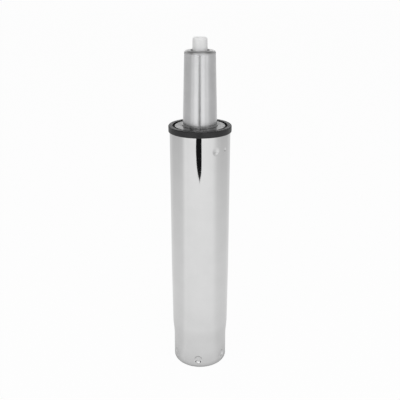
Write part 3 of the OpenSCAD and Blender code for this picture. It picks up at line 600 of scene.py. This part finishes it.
outline = [
    (0, STUD_END), (STUD_R - ROD_EDGE, STUD_END), (STUD_R, STUD_END + ROD_EDGE), (STUD_R, CLIP_GROOVE[0]),
    (CLIP_GROOVE_R, CLIP_GROOVE[0]), (CLIP_GROOVE_R, CLIP_GROOVE[1]), (STUD_R, CLIP_GROOVE[1]),
    (STUD_R, ROD_SHOULDER), (ROD_R, ROD_SHOULDER), (ROD_R, PISTON_LOW), (SPIGOT_R, PISTON_LOW),
    (SPIGOT_R, ROD_TIP - ROD_EDGE), (SPIGOT_R - ROD_EDGE, ROD_TIP), (0, ROD_TIP)]
outline = stretched(broken(outline, 0.12, closed=False), 6.0, closed=False)
turned("polished_rod", outline, polished_bar, "rod", "piston_rod", slot="rod_steel", closed=False, sides=128)

# Clip and its washer
# A stamped, plated washer and an open spring clip in the stud's groove hold the rod in the
# column when the chair is lifted. They are what shows through the opening in the foot.
WASHER_HOLE_R = 4.1
CLIP_WASHER_R = 10
CLIP_WASHER_Z = (5.55, 6.75)


def washer(hole_r, edge_r, low, high):
    """The outline of a flat ring."""
    return [(hole_r, low), (edge_r, low), (edge_r, high), (hole_r, high)]


outline = stretched(broken(washer(WASHER_HOLE_R, CLIP_WASHER_R, *CLIP_WASHER_Z), 0.25), 1.5)
turned("stamped_clip_washer", outline, zinc, "rod", "clip_washer", slot="plated_steel", sides=160)

# Blued spring steel: dark blue-grey from the oil bath, worn paler in specks
blued, tree, shader, at = finish_for("blued_spring_steel", {"Metallic": 1.0})
patch = add(tree, "ShaderNodeTexNoise", {"Vector": at, "Scale": 1 / (2.5 * MM), "Detail": 4.0}).outputs["Fac"]
speck = add(tree, "ShaderNodeTexNoise", {"Vector": at, "Scale": 1 / (0.4 * MM), "Detail": 2.0}).outputs["Fac"]
surface(tree, shader, patch, [(0.3, "#4C525C"), (0.6, "#5F656E"), (0.8, "#7B7E83")],
        span=(0.3, 0.7), rough=(0.28, 0.44), relief=speck, depth=0.01)
dress(blued, "retaining_clip")

# Buffer and washers
# A waisted rubber sleeve between two stamped washers on the rod. The stem comes down on it
# softly at the end of the stroke.
BUFFER_R = 12
BUFFER_WAIST = 1.6
BUFFER_Z = (18.3, 42.3)
BUFFER_HOLE_R = 5.1
WASHER_T = 2
BUFFER_STEPS = 24
# The line that the two halves of the mould leave at the waist
FLASH = 0.15

for name, node, low in [("stamped_support_washer", "support_washer", BUFFER_Z[0] - WASHER_T),
                        ("stamped_buffer_washer", "buffer_washer", BUFFER_Z[1])]:
    outline = stretched(broken(washer(BUFFER_HOLE_R, BUFFER_R, low, low + WASHER_T), 0.3), 2.0)
    turned(name, outline, zinc, "rod", node, slot="plated_steel", sides=160)

# Moulded nitrile rubber: near black, dull, with a faint grey bloom and the mould's fine grain
buffer_rubber, tree, shader, at = finish_for("moulded_nitrile_rubber", {"IOR": 1.52})
bloom = add(tree, "ShaderNodeTexNoise", {"Vector": at, "Scale": 1 / (7 * MM), "Detail": 4.0}).outputs["Fac"]
grain = add(tree, "ShaderNodeTexNoise", {"Vector": at, "Scale": 1 / (0.5 * MM), "Detail": 3.0}).outputs["Fac"]
surface(tree, shader, bloom, [(0.3, "#202021"), (0.7, "#2F2F31")],
        span=(0.3, 0.7), rough=(0.60, 0.78), relief=grain, depth=0.03)

low, high = BUFFER_Z
side = []
for i in range(BUFFER_STEPS + 1):
    t = i / BUFFER_STEPS
    fold = 1 - abs(2 * t - 1)
    bead = FLASH if 2 * i == BUFFER_STEPS else 0
    side.append((BUFFER_R - BUFFER_WAIST * fold * fold * (3 - 2 * fold) + bead, low + (high - low) * t))
outline = stretched(broken([(BUFFER_HOLE_R, low), *side, (BUFFER_HOLE_R, high)], 0.5), 2.0)
turned("waisted_buffer", outline, buffer_rubber, "rod", "rubber_buffer", slot="buffer_rubber", sides=160)

# Piston
# A machined acetal disc with a sliding ring in its groove, clamped on the rod's spigot by a
# washer and a hexagon nut. It parts the gas above it from the gas below.

# Machined acetal: tan, with the lathe's fine rings and a soft shine
turned_acetal, tree, shader, at = finish_for("machined_tan_acetal", {"IOR": 1.48})
away = add(tree, "ShaderNodeVectorMath", {0: at, 1: (1, 1, 0)}, operation="MULTIPLY").outputs[0]
away = add(tree, "ShaderNodeVectorMath", {0: away}, operation="LENGTH").outputs["Value"]
lathe = add(tree, "ShaderNodeMath", {0: away, 1: math.tau / (0.2 * MM)}, operation="MULTIPLY").outputs[0]
lathe = add(tree, "ShaderNodeMath", {0: lathe}, operation="SINE").outputs[0]
cloud = add(tree, "ShaderNodeTexNoise", {"Vector": at, "Scale": 1 / (4 * MM), "Detail": 3.0}).outputs["Fac"]
surface(tree, shader, cloud, [(0.3, "#B59F7C"), (0.7, "#C4AE8B")],
        span=(0.3, 0.7), rough=(0.32, 0.45), relief=lathe, depth=0.004)
dress(turned_acetal, "piston")

# Low-friction fluoroplastic ring: chalky white with a faint marbling
slide_ring, tree, shader, at = finish_for("moulded_fluoroplastic", {"IOR": 1.38})
marble = add(tree, "ShaderNodeTexNoise", {"Vector": at, "Scale": 1 / (2 * MM), "Detail": 4.0,
                                          "Distortion": 1.0}).outputs["Fac"]
surface(tree, shader, marble, [(0.3, "#DEDEDA"), (0.7, "#EBEBE8")],
        span=(0.3, 0.7), rough=(0.38, 0.52))
dress(slide_ring, "piston_ring")
dress(zinc, "piston_washer", "piston_nut")

# Stem
# The pressure tube is the sliding stem: ground steel, rolled in at both ends, with a
# 1:20 seat taper at its top that grips the seat plate.
STEM_R = 14
STEM_WALL = 1.8
STEM_BORE_R = STEM_R - STEM_WALL
STEM_LOW = 44.6
STEM_TOP = 280
SEAT_LOW = 222
STEM_TOP_R = 12.55
STEM_ROUND = 2.3
MOUTH_R = 7.5
ROOF = 277.5
UPPER_BORE_R = 11.0
BORE_STEP = 242
BORE_STEP_H = 2
STEM_FOOT_ROUND = 3
STEM_OPENING_R = 8.5
GRIND_PITCH = 0.35
# Heights between which the ground bar passes into its rolled end, greyed there with painted shade,
# and the radii between which the mouth's sheared edge is darkened with painted recess shade
ROLLED_END_AND_PAINTED_SHADE = (277.3, 278.7)
SHEARED_EDGE_AND_PAINTED_SHADE = (7.6, 7.8)

ground, tree, shader, at = finish_for("centreless_ground_steel", {
    "Metallic": 1.0,
    "Anisotropic": 0.75,
    "Anisotropic Rotation": 0.25})
around = add(tree, "ShaderNodeTangent", direction_type="RADIAL", axis="Z").outputs[0]
tree.links.new(around, shader.inputs["Tangent"])
# Grinding scratches run round the bar: very long round it and a third of a millimetre apart
scratch = add(tree, "ShaderNodeMapping", {"Vector": at, "Scale": (12, 12, 1 / (GRIND_PITCH * MM))}).outputs[0]
lines = add(tree, "ShaderNodeTexNoise", {"Vector": scratch, "Scale": 1.0, "Detail": 3.0}).outputs["Fac"]
cloud = add(tree, "ShaderNodeTexNoise", {"Vector": at, "Scale": 1 / (12 * MM), "Detail": 3.0}).outputs["Fac"]
mottle = add(tree, "ShaderNodeMath", {0: lines, 1: 0.5, 2: 0.0}, operation="MULTIPLY_ADD").outputs[0]
mottle = add(tree, "ShaderNodeMath", {0: cloud, 1: 0.5, 2: mottle}, operation="MULTIPLY_ADD").outputs[0]
tone = add(tree, "ShaderNodeValToRGB", {"Fac": mottle}, stops=[
    (0.35, "#DEDEDF"), (0.65, "#E8E8E9")]).outputs[0]
rough = add(tree, "ShaderNodeMapRange", {"Value": mottle, "From Min": 0.35, "From Max": 0.65,
                                         "To Min": 0.22, "To Max": 0.27}).outputs["Result"]
# The end is rolled in after the grinding, so its top is duller than the bar. Its greyer colour
# there is painted shade that dims what the top mirrors
up = add(tree, "ShaderNodeSeparateXYZ", {0: at}).outputs["Z"]
rolled_end_and_painted_shade = add(tree, "ShaderNodeMapRange", {"Value": up, "From Min": ROLLED_END_AND_PAINTED_SHADE[0] * MM,
                                          "From Max": ROLLED_END_AND_PAINTED_SHADE[1] * MM}).outputs["Result"]
tone = add(tree, "ShaderNodeMix", {"Factor": rolled_end_and_painted_shade, "A": tone, "B": linear("#C2C2C2")},
           data_type="RGBA").outputs["Result"]
rough = add(tree, "ShaderNodeMix", {"Factor": rolled_end_and_painted_shade, "A": rough, "B": 0.44}).outputs["Result"]
# The sheared edge inside the mouth is never ground, so it stays dull from the rolling. Its dark
# colour is painted shade for the mouth's recess
away = add(tree, "ShaderNodeVectorMath", {0: at, 1: (1, 1, 0)}, operation="MULTIPLY").outputs[0]
away = add(tree, "ShaderNodeVectorMath", {0: away}, operation="LENGTH").outputs["Value"]
sheared_edge_and_painted_shade = add(tree, "ShaderNodeMapRange", {"Value": away, "From Min": SHEARED_EDGE_AND_PAINTED_SHADE[0] * MM,
                                           "From Max": SHEARED_EDGE_AND_PAINTED_SHADE[1] * MM,
                                           "To Min": 1.0, "To Max": 0.0}).outputs["Result"]
tone = add(tree, "ShaderNodeMix", {"Factor": sheared_edge_and_painted_shade, "A": tone, "B": linear("#39393A")},
           data_type="RGBA").outputs["Result"]
rough = add(tree, "ShaderNodeMix", {"Factor": sheared_edge_and_painted_shade, "A": rough, "B": 0.5}).outputs["Result"]
tree.links.new(tone, shader.inputs["Base Color"])
tree.links.new(rough, shader.inputs["Roughness"])
relief = add(tree, "ShaderNodeBump", {"Height": lines, "Strength": 1.0, "Distance": 0.002 * MM}).outputs[0]
tree.links.new(relief, shader.inputs["Normal"])

foot_centre = (STEM_R - STEM_FOOT_ROUND, STEM_LOW + STEM_FOOT_ROUND)
top_centre = (STEM_TOP_R - STEM_ROUND, STEM_TOP - STEM_ROUND)
outline = ([(STEM_OPENING_R, STEM_LOW)] + arc(foot_centre, STEM_FOOT_ROUND, 270, 360, 10)
           + [(STEM_R, SEAT_LOW)] + arc(top_centre, STEM_ROUND, 0, 90, 12)
           + [(MOUTH_R, STEM_TOP), (MOUTH_R, ROOF), (UPPER_BORE_R, ROOF), (UPPER_BORE_R, BORE_STEP),
              (STEM_BORE_R, BORE_STEP - BORE_STEP_H), (STEM_BORE_R, SEAT_LOW)]
           + arc(foot_centre, STEM_FOOT_ROUND - STEM_WALL, 360, 270, 6)
           + [(STEM_OPENING_R, STEM_LOW + STEM_WALL)])
outline = stretched(broken(outline, 0.25), 8.0)
turned("ground_stem", outline, ground, "cylinder", "pressure_tube", slot="stem_steel")

# Rod guide, seal and spacer
# A sintered bronze bush in the stem's lower end bears on the rod. Above it sit the lipped
# rubber seal that holds the gas in, and a plated spacer whose spigot centres the liner.

# Sintered bronze: brown-gold and matt, with dark pores a fifth of a millimetre across that
# hold oil
sintered, tree, shader, at = finish_for("sintered_oil_bronze", {"Metallic": 1.0})
pores = add(tree, "ShaderNodeTexVoronoi", {"Vector": at, "Scale": 1 / (0.3 * MM)},
            feature="F1").outputs["Distance"]
oil = add(tree, "ShaderNodeTexNoise", {"Vector": at, "Scale": 1 / (5 * MM), "Detail": 3.0}).outputs["Fac"]
surface(tree, shader, pores, [(0.10, "#5F4A30"), (0.30, "#AC8452"), (0.80, "#BB9460")],
        span=(0.3, 0.7), rough=(0.34, 0.52), rough_by=oil, relief=pores, depth=0.03, strength=0.6)
dress(sintered, "rod_guide")

# Nitrile seal rubber: black, smoother than the buffer, and wet with oil
seal_rubber, tree, shader, at = finish_for("oiled_nitrile_seal_rubber", {"IOR": 1.52})
wet = add(tree, "ShaderNodeTexNoise", {"Vector": at, "Scale": 1 / (3 * MM), "Detail": 3.0}).outputs["Fac"]
surface(tree, shader, wet, [(0.3, "#1A1A1B"), (0.7, "#252526")],
        span=(0.3, 0.7), rough=(0.28, 0.5), relief=wet, depth=0.02)
dress(seal_rubber, "rod_seal")
dress(zinc, "seal_spacer")

# Liner
# Thin drawn tube in which the piston runs. The gas flows back between it and the stem, and
# enters by four holes near its foot.

# Cold-drawn precision tube: pale steel with die lines along it and a film of oil
drawn_tube, tree, shader, at = finish_for("cold_drawn_precision_tube", {"Metallic": 1.0})
dies = add(tree, "ShaderNodeMapping", {"Vector": at,
                                       "Scale": (1 / (0.4 * MM), 1 / (0.4 * MM), 15)}).outputs[0]
dies = add(tree, "ShaderNodeTexNoise", {"Vector": dies, "Scale": 1.0, "Detail": 3.0}).outputs["Fac"]
surface(tree, shader, dies, [(0.35, "#C5C6C7"), (0.65, "#D7D8D9")],
        span=(0.35, 0.65), rough=(0.20, 0.32), relief=dies, depth=0.004)
dress(drawn_tube, "liner_tube")

# Release valve
# Two glass-filled plugs stacked in the stem's top: the lower one closes the liner and leads
# the gas past the pin to its ports, the upper one guides the pin. Rubber rings seal them.

# Glass-filled nylon: tan, with short pale fibres that lie at the surface and a dry sheen
filled_nylon, tree, shader, at = finish_for("glass_filled_nylon", {"IOR": 1.53})
flow = add(tree, "ShaderNodeMapping", {"Vector": at, "Scale": (1 / (0.3 * MM), 1 / (0.3 * MM),
                                                               1 / (1.5 * MM))}).outputs[0]
fibres = add(tree, "ShaderNodeTexNoise", {"Vector": flow, "Scale": 1.0, "Detail": 2.0}).outputs["Fac"]
surface(tree, shader, fibres, [(0.35, "#B9A47F"), (0.55, "#C3AF8B"), (0.68, "#D3C5A8")],
        span=(0.35, 0.65), rough=(0.42, 0.56), relief=fibres, depth=0.01)
dress(filled_nylon, "valve_seat", "valve_guide")
dress(seal_rubber, "pin_seal", "body_ring", "pin_ring")
dress(polished_bar, "valve_pin")

# Button guide
# Dark bush that the stem's rolled top clamps on the valve guide. Its bore keeps the button
# upright, and its thin collar lines the stem's mouth: the dark ring round the button.
GUIDE_BORE_R = 6.15
GUIDE_R = 10.95
GUIDE_Z = (266, ROOF)
# Play between parts that slide into each other
FIT = 0.05
GUIDE_COLLAR_R = MOUTH_R - FIT
GUIDE_COLLAR_DROP = 0.4
GUIDE_BORE_RISE = 0.7

# Charcoal nylon, moulded: dull, with a faint grey cloud
charcoal, tree, shader, at = finish_for("moulded_charcoal_nylon", {"IOR": 1.53})
cloud = add(tree, "ShaderNodeTexNoise", {"Vector": at, "Scale": 1 / (4 * MM), "Detail": 3.0}).outputs["Fac"]
grain = add(tree, "ShaderNodeTexNoise", {"Vector": at, "Scale": 1 / (0.4 * MM), "Detail": 2.0}).outputs["Fac"]
surface(tree, shader, cloud, [(0.3, "#2E2E30"), (0.7, "#38383A")],
        span=(0.3, 0.7), rough=(0.48, 0.6), relief=grain, depth=0.02)

collar_top = STEM_TOP - GUIDE_COLLAR_DROP
outline = [(GUIDE_BORE_R, GUIDE_Z[0]), (GUIDE_R, GUIDE_Z[0]), (GUIDE_R, GUIDE_Z[1]),
           (GUIDE_COLLAR_R, GUIDE_Z[1]), (GUIDE_COLLAR_R, collar_top),
           (GUIDE_BORE_R, GUIDE_Z[1] + GUIDE_BORE_RISE)]
outline = stretched(broken(outline, 0.2), 2.0)
turned("charcoal_button_guide", outline, charcoal, "cylinder", "button_guide", slot="guide_plastic",
       sides=128)

# Release button
# White acetal cap on the valve pin, moulded with a rounded top edge. It lets some light
# into its surface, so that its sides stay soft.
BUTTON_R = 6
BUTTON_TOP_R = 5.8
BUTTON_LOW = 272
BUTTON_TOP = 290
BUTTON_ROUND = 1.6
SOCKET_TOP = 278
SOCKET_R = 2.5

acetal, tree, shader, at = finish_for("natural_white_acetal", {
    "IOR": 1.48,
    "Subsurface Weight": 0.5,
    "Subsurface Radius": (1.0, 1.0, 1.0),
    "Subsurface Scale": 1.5 * MM})
cloud = add(tree, "ShaderNodeTexNoise", {"Vector": at, "Scale": 1 / (5 * MM), "Detail": 3.0}).outputs["Fac"]
grain = add(tree, "ShaderNodeTexNoise", {"Vector": at, "Scale": 1 / (0.5 * MM), "Detail": 2.0}).outputs["Fac"]
surface(tree, shader, cloud, [(0.3, "#F6F6F6"), (0.7, "#FBFBFB")],
        span=(0.35, 0.65), rough=(0.34, 0.44), relief=grain, depth=0.01)

top_centre = (BUTTON_TOP_R - BUTTON_ROUND, BUTTON_TOP - BUTTON_ROUND)
outline = ([(0, SOCKET_TOP), (SOCKET_R, SOCKET_TOP), (SOCKET_R, BUTTON_LOW), (BUTTON_R, BUTTON_LOW),
            (BUTTON_R, STEM_TOP)] + arc(top_centre, BUTTON_ROUND, 0, 90, 12) + [(0, BUTTON_TOP)])
outline = stretched(broken(outline, 0.2, closed=False), 2.0, closed=False)
turned("white_button", outline, acetal, "button", "release_button", slot="button_plastic",
       closed=False, sides=128)

# Guide bush
# Long black plastic sleeve that the stem slides in. Its head shows inside the collar and
# shines from the grease that the stem carries up.
COLLAR_IN_R = 22.5
BUSH_BORE_R = 14.05
BUSH_HEAD_R = 20.8
BUSH_HEAD_TOP = 219.6
GROOVE_FLOOR = 217.5
BUSH_LOW = 140
BUSH_R = 23.3
BUSH_WEB_R = 20.5
BAND_LOW_TOP = 152
BAND_TOP_LOW = 185
BUSH_LEAD = 0.6
RIBS = 8
RIB_T = 3
# Each rib's foot is sunk into the sleeve and its ends run into the bands
RIB_SINK = 1
RIB_LAP = 0.2
RIB_EDGE = 0.4
RIB_CROWN = 0.02
# The sleeve is drawn in here, clear of the column's bush stakes
RELIEF_R = 22.2
RELIEF_Z = (197, 199, 207, 209)

gloss_black, tree, shader, at = finish_for("greased_black_acetal", {"IOR": 1.48})
smear = add(tree, "ShaderNodeTexNoise", {"Vector": at, "Scale": 1 / (4 * MM), "Detail": 3.0,
                                         "Distortion": 0.6}).outputs["Fac"]
surface(tree, shader, smear, [(0.3, "#151516"), (0.7, "#1C1C1E")],
        span=(0.35, 0.65), rough=(0.10, 0.24), relief=smear, depth=0.04)

collar_seat_r = COLLAR_IN_R - FIT
outline = [
    (BUSH_BORE_R + BUSH_LEAD, BUSH_LOW), (BUSH_R, BUSH_LOW), (BUSH_R, BAND_LOW_TOP),
    (BUSH_WEB_R, BAND_LOW_TOP), (BUSH_WEB_R, BAND_TOP_LOW), (BUSH_R, BAND_TOP_LOW),
    (BUSH_R, RELIEF_Z[0]), (RELIEF_R, RELIEF_Z[1]), (RELIEF_R, RELIEF_Z[2]), (BUSH_R, RELIEF_Z[3]),
    (BUSH_R, COLUMN_H), (collar_seat_r, COLUMN_H), (collar_seat_r, GROOVE_FLOOR),
    (BUSH_HEAD_R, GROOVE_FLOOR), (BUSH_HEAD_R, BUSH_HEAD_TOP), (BUSH_BORE_R + BUSH_LEAD, BUSH_HEAD_TOP),
    (BUSH_BORE_R, BUSH_HEAD_TOP - BUSH_LEAD), (BUSH_BORE_R, BUSH_LOW + BUSH_LEAD)]
outline = stretched(broken(outline, 0.3), 6.0)
turned("greased_bush", outline, gloss_black, "column", "guide_bush", slot="bush_plastic")

rib_in, rib_out = BUSH_WEB_R - RIB_SINK, BUSH_R - FIT
rib = bpy.data.meshes.new("bush_rib")
profile = [(-RIB_T / 2, -rib_out), (-RIB_T / 2 + RIB_EDGE, -rib_out - RIB_CROWN),
           (RIB_T / 2 - RIB_EDGE, -rib_out - RIB_CROWN), (RIB_T / 2, -rib_out),
           (RIB_T / 2, -rib_in), (-RIB_T / 2, -rib_in)]
profile = [(x, y * rib_out / math.hypot(x, rib_out) if y < -rib_in else y) for x, y in profile]
low, high = BAND_LOW_TOP - RIB_LAP, BAND_TOP_LOW + RIB_LAP
corners = [(x * MM, y * MM, z * MM) for z in (low, high) for x, y in profile]
count = len(profile)
faces = [(i, (i + 1) % count, count + (i + 1) % count, count + i) for i in range(count)]
faces += [tuple(reversed(range(count))), tuple(range(count, 2 * count))]
rib.from_pydata(corners, [], faces)
shaped("bush_ribs", rib, [(round_tree, {"Count": RIBS, "Finish": gloss_black})], "column",
       slot="bush_plastic")

# Collar cap
# Black moulded ring that closes the tube's top edge. It is satin, with a rounded top edge
# and a fine moulded grain, and it snaps over the end of the guide bush.
COLLAR_R = 26
COLLAR_TOP = 220
COLLAR_ROUND = 0.8

satin_black, tree, shader, at = finish_for("moulded_black_polyamide", {"IOR": 1.53})
grain = add(tree, "ShaderNodeTexNoise", {"Vector": at, "Scale": 1 / (0.6 * MM), "Detail": 3.0}).outputs["Fac"]
cloud = add(tree, "ShaderNodeTexNoise", {"Vector": at, "Scale": 1 / (9 * MM), "Detail": 2.0}).outputs["Fac"]
surface(tree, shader, cloud, [(0.3, "#19191B"), (0.7, "#202022")],
        span=(0.35, 0.65), rough=(0.36, 0.46), relief=grain, depth=0.02)

outline = ([(COLLAR_IN_R, COLUMN_H), (COLLAR_R, COLUMN_H)]
           + arc((COLLAR_R - COLLAR_ROUND, COLLAR_TOP - COLLAR_ROUND), COLLAR_ROUND, 0, 90, 10)
           + [(COLLAR_IN_R, COLLAR_TOP)])
outline = stretched(broken(outline, 0.25), 1.0)
turned("black_collar", outline, satin_black, "column", "collar_cap", slot="collar_plastic", sides=320)
